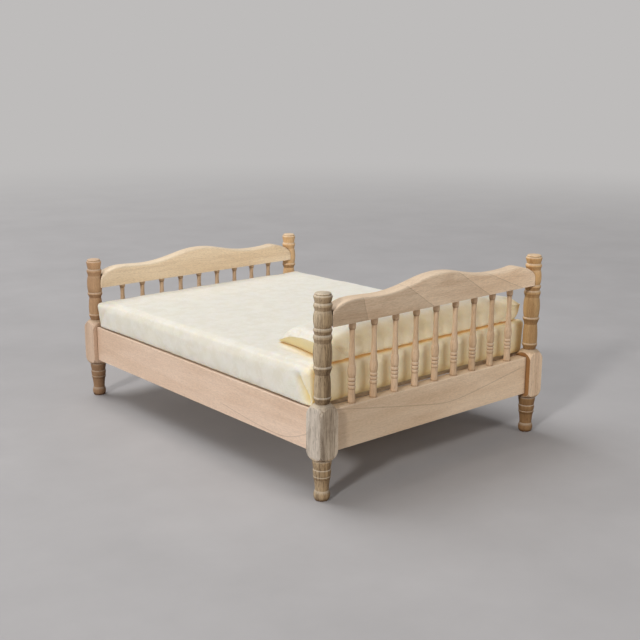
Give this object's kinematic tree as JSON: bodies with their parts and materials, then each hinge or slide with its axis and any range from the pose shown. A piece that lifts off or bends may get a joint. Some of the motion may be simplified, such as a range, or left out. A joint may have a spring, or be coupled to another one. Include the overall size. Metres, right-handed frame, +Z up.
{
  "type": "miniature spindle bed",
  "caption": "Dolls' house double bed with turned posts, serpentine crest rails, spindle ends, plain side rails, a slatted base, a loose mattress and a loose pillow.",
  "frame": {"origin": "on the floor under the middle of the bed", "axes": "+Z up, +Y along the bed towards the headboard, +X across it"},
  "size_m": [0.1284, 0.1766, 0.0799],
  "materials": {
    "post_wood": "bare turned hardwood, warm orange tan, satin from the lathe",
    "grey_post_wood": "bare turned hardwood of a greyer, open-pored billet",
    "crest_wood": "bare sawn hardwood, fine straight grain, sanded",
    "end_rail_wood": "bare planed hardwood, pale tan with thin brown growth lines",
    "side_rail_wood": "bare planed hardwood, pinkish tan, sanded",
    "spindle_wood": "bare turned hardwood, pinkish tan",
    "slat_wood": "bare softwood, planed",
    "dowel_wood": "bare beech dowel",
    "mattress_cloth": "cream cotton with a faint self-coloured figure",
    "pillow_cloth": "cream cotton with a faint self-coloured figure",
    "wadding": "white wadding or foam block"
  },
  "bodies": {
    "bed_frame": {"head_post_left": "post_wood", "head_post_right": "grey_post_wood", "head_crest_rail": "crest_wood", "head_lower_rail": "end_rail_wood", "head_crest_dowels": "dowel_wood", "head_rail_dowels": "dowel_wood", "foot_post_left": "post_wood", "foot_post_right": "post_wood", "foot_crest_rail": "crest_wood", "foot_lower_rail": "end_rail_wood", "foot_crest_dowels": "dowel_wood", "foot_rail_dowels": "dowel_wood", "head_spindle_1": "spindle_wood", "head_spindle_2": "spindle_wood", "head_spindle_3": "spindle_wood", "head_spindle_4": "spindle_wood", "head_spindle_5": "spindle_wood", "head_spindle_6": "spindle_wood", "head_spindle_7": "spindle_wood", "head_spindle_8": "spindle_wood", "head_spindle_9": "spindle_wood", "foot_spindle_1": "spindle_wood", "foot_spindle_2": "spindle_wood", "foot_spindle_3": "spindle_wood", "foot_spindle_4": "spindle_wood", "foot_spindle_5": "spindle_wood", "foot_spindle_6": "spindle_wood", "foot_spindle_7": "spindle_wood", "foot_spindle_8": "spindle_wood", "foot_spindle_9": "spindle_wood", "side_rail_left": "side_rail_wood", "cleat_left": "slat_wood", "side_dowels_left": "dowel_wood", "side_rail_right": "side_rail_wood", "cleat_right": "slat_wood", "side_dowels_right": "dowel_wood", "slat_1": "slat_wood", "slat_2": "slat_wood", "slat_3": "slat_wood", "slat_4": "slat_wood", "slat_5": "slat_wood", "slat_6": "slat_wood", "slat_7": "slat_wood"},
    "mattress": {"mattress_cover": "mattress_cloth", "mattress_core": "wadding"},
    "pillow": {"pillow": "pillow_cloth"}
  },
  "joints": [
    {"name": "mattress_lift", "type": "slide", "parent": "bed_frame", "child": "mattress", "axis": [0, 0, 1], "range_m": [0, 0.05]},
    {"name": "pillow_lift", "type": "slide", "parent": "mattress", "child": "pillow", "axis": [0, 0, 1], "range_m": [0, 0.035]}
  ]
}
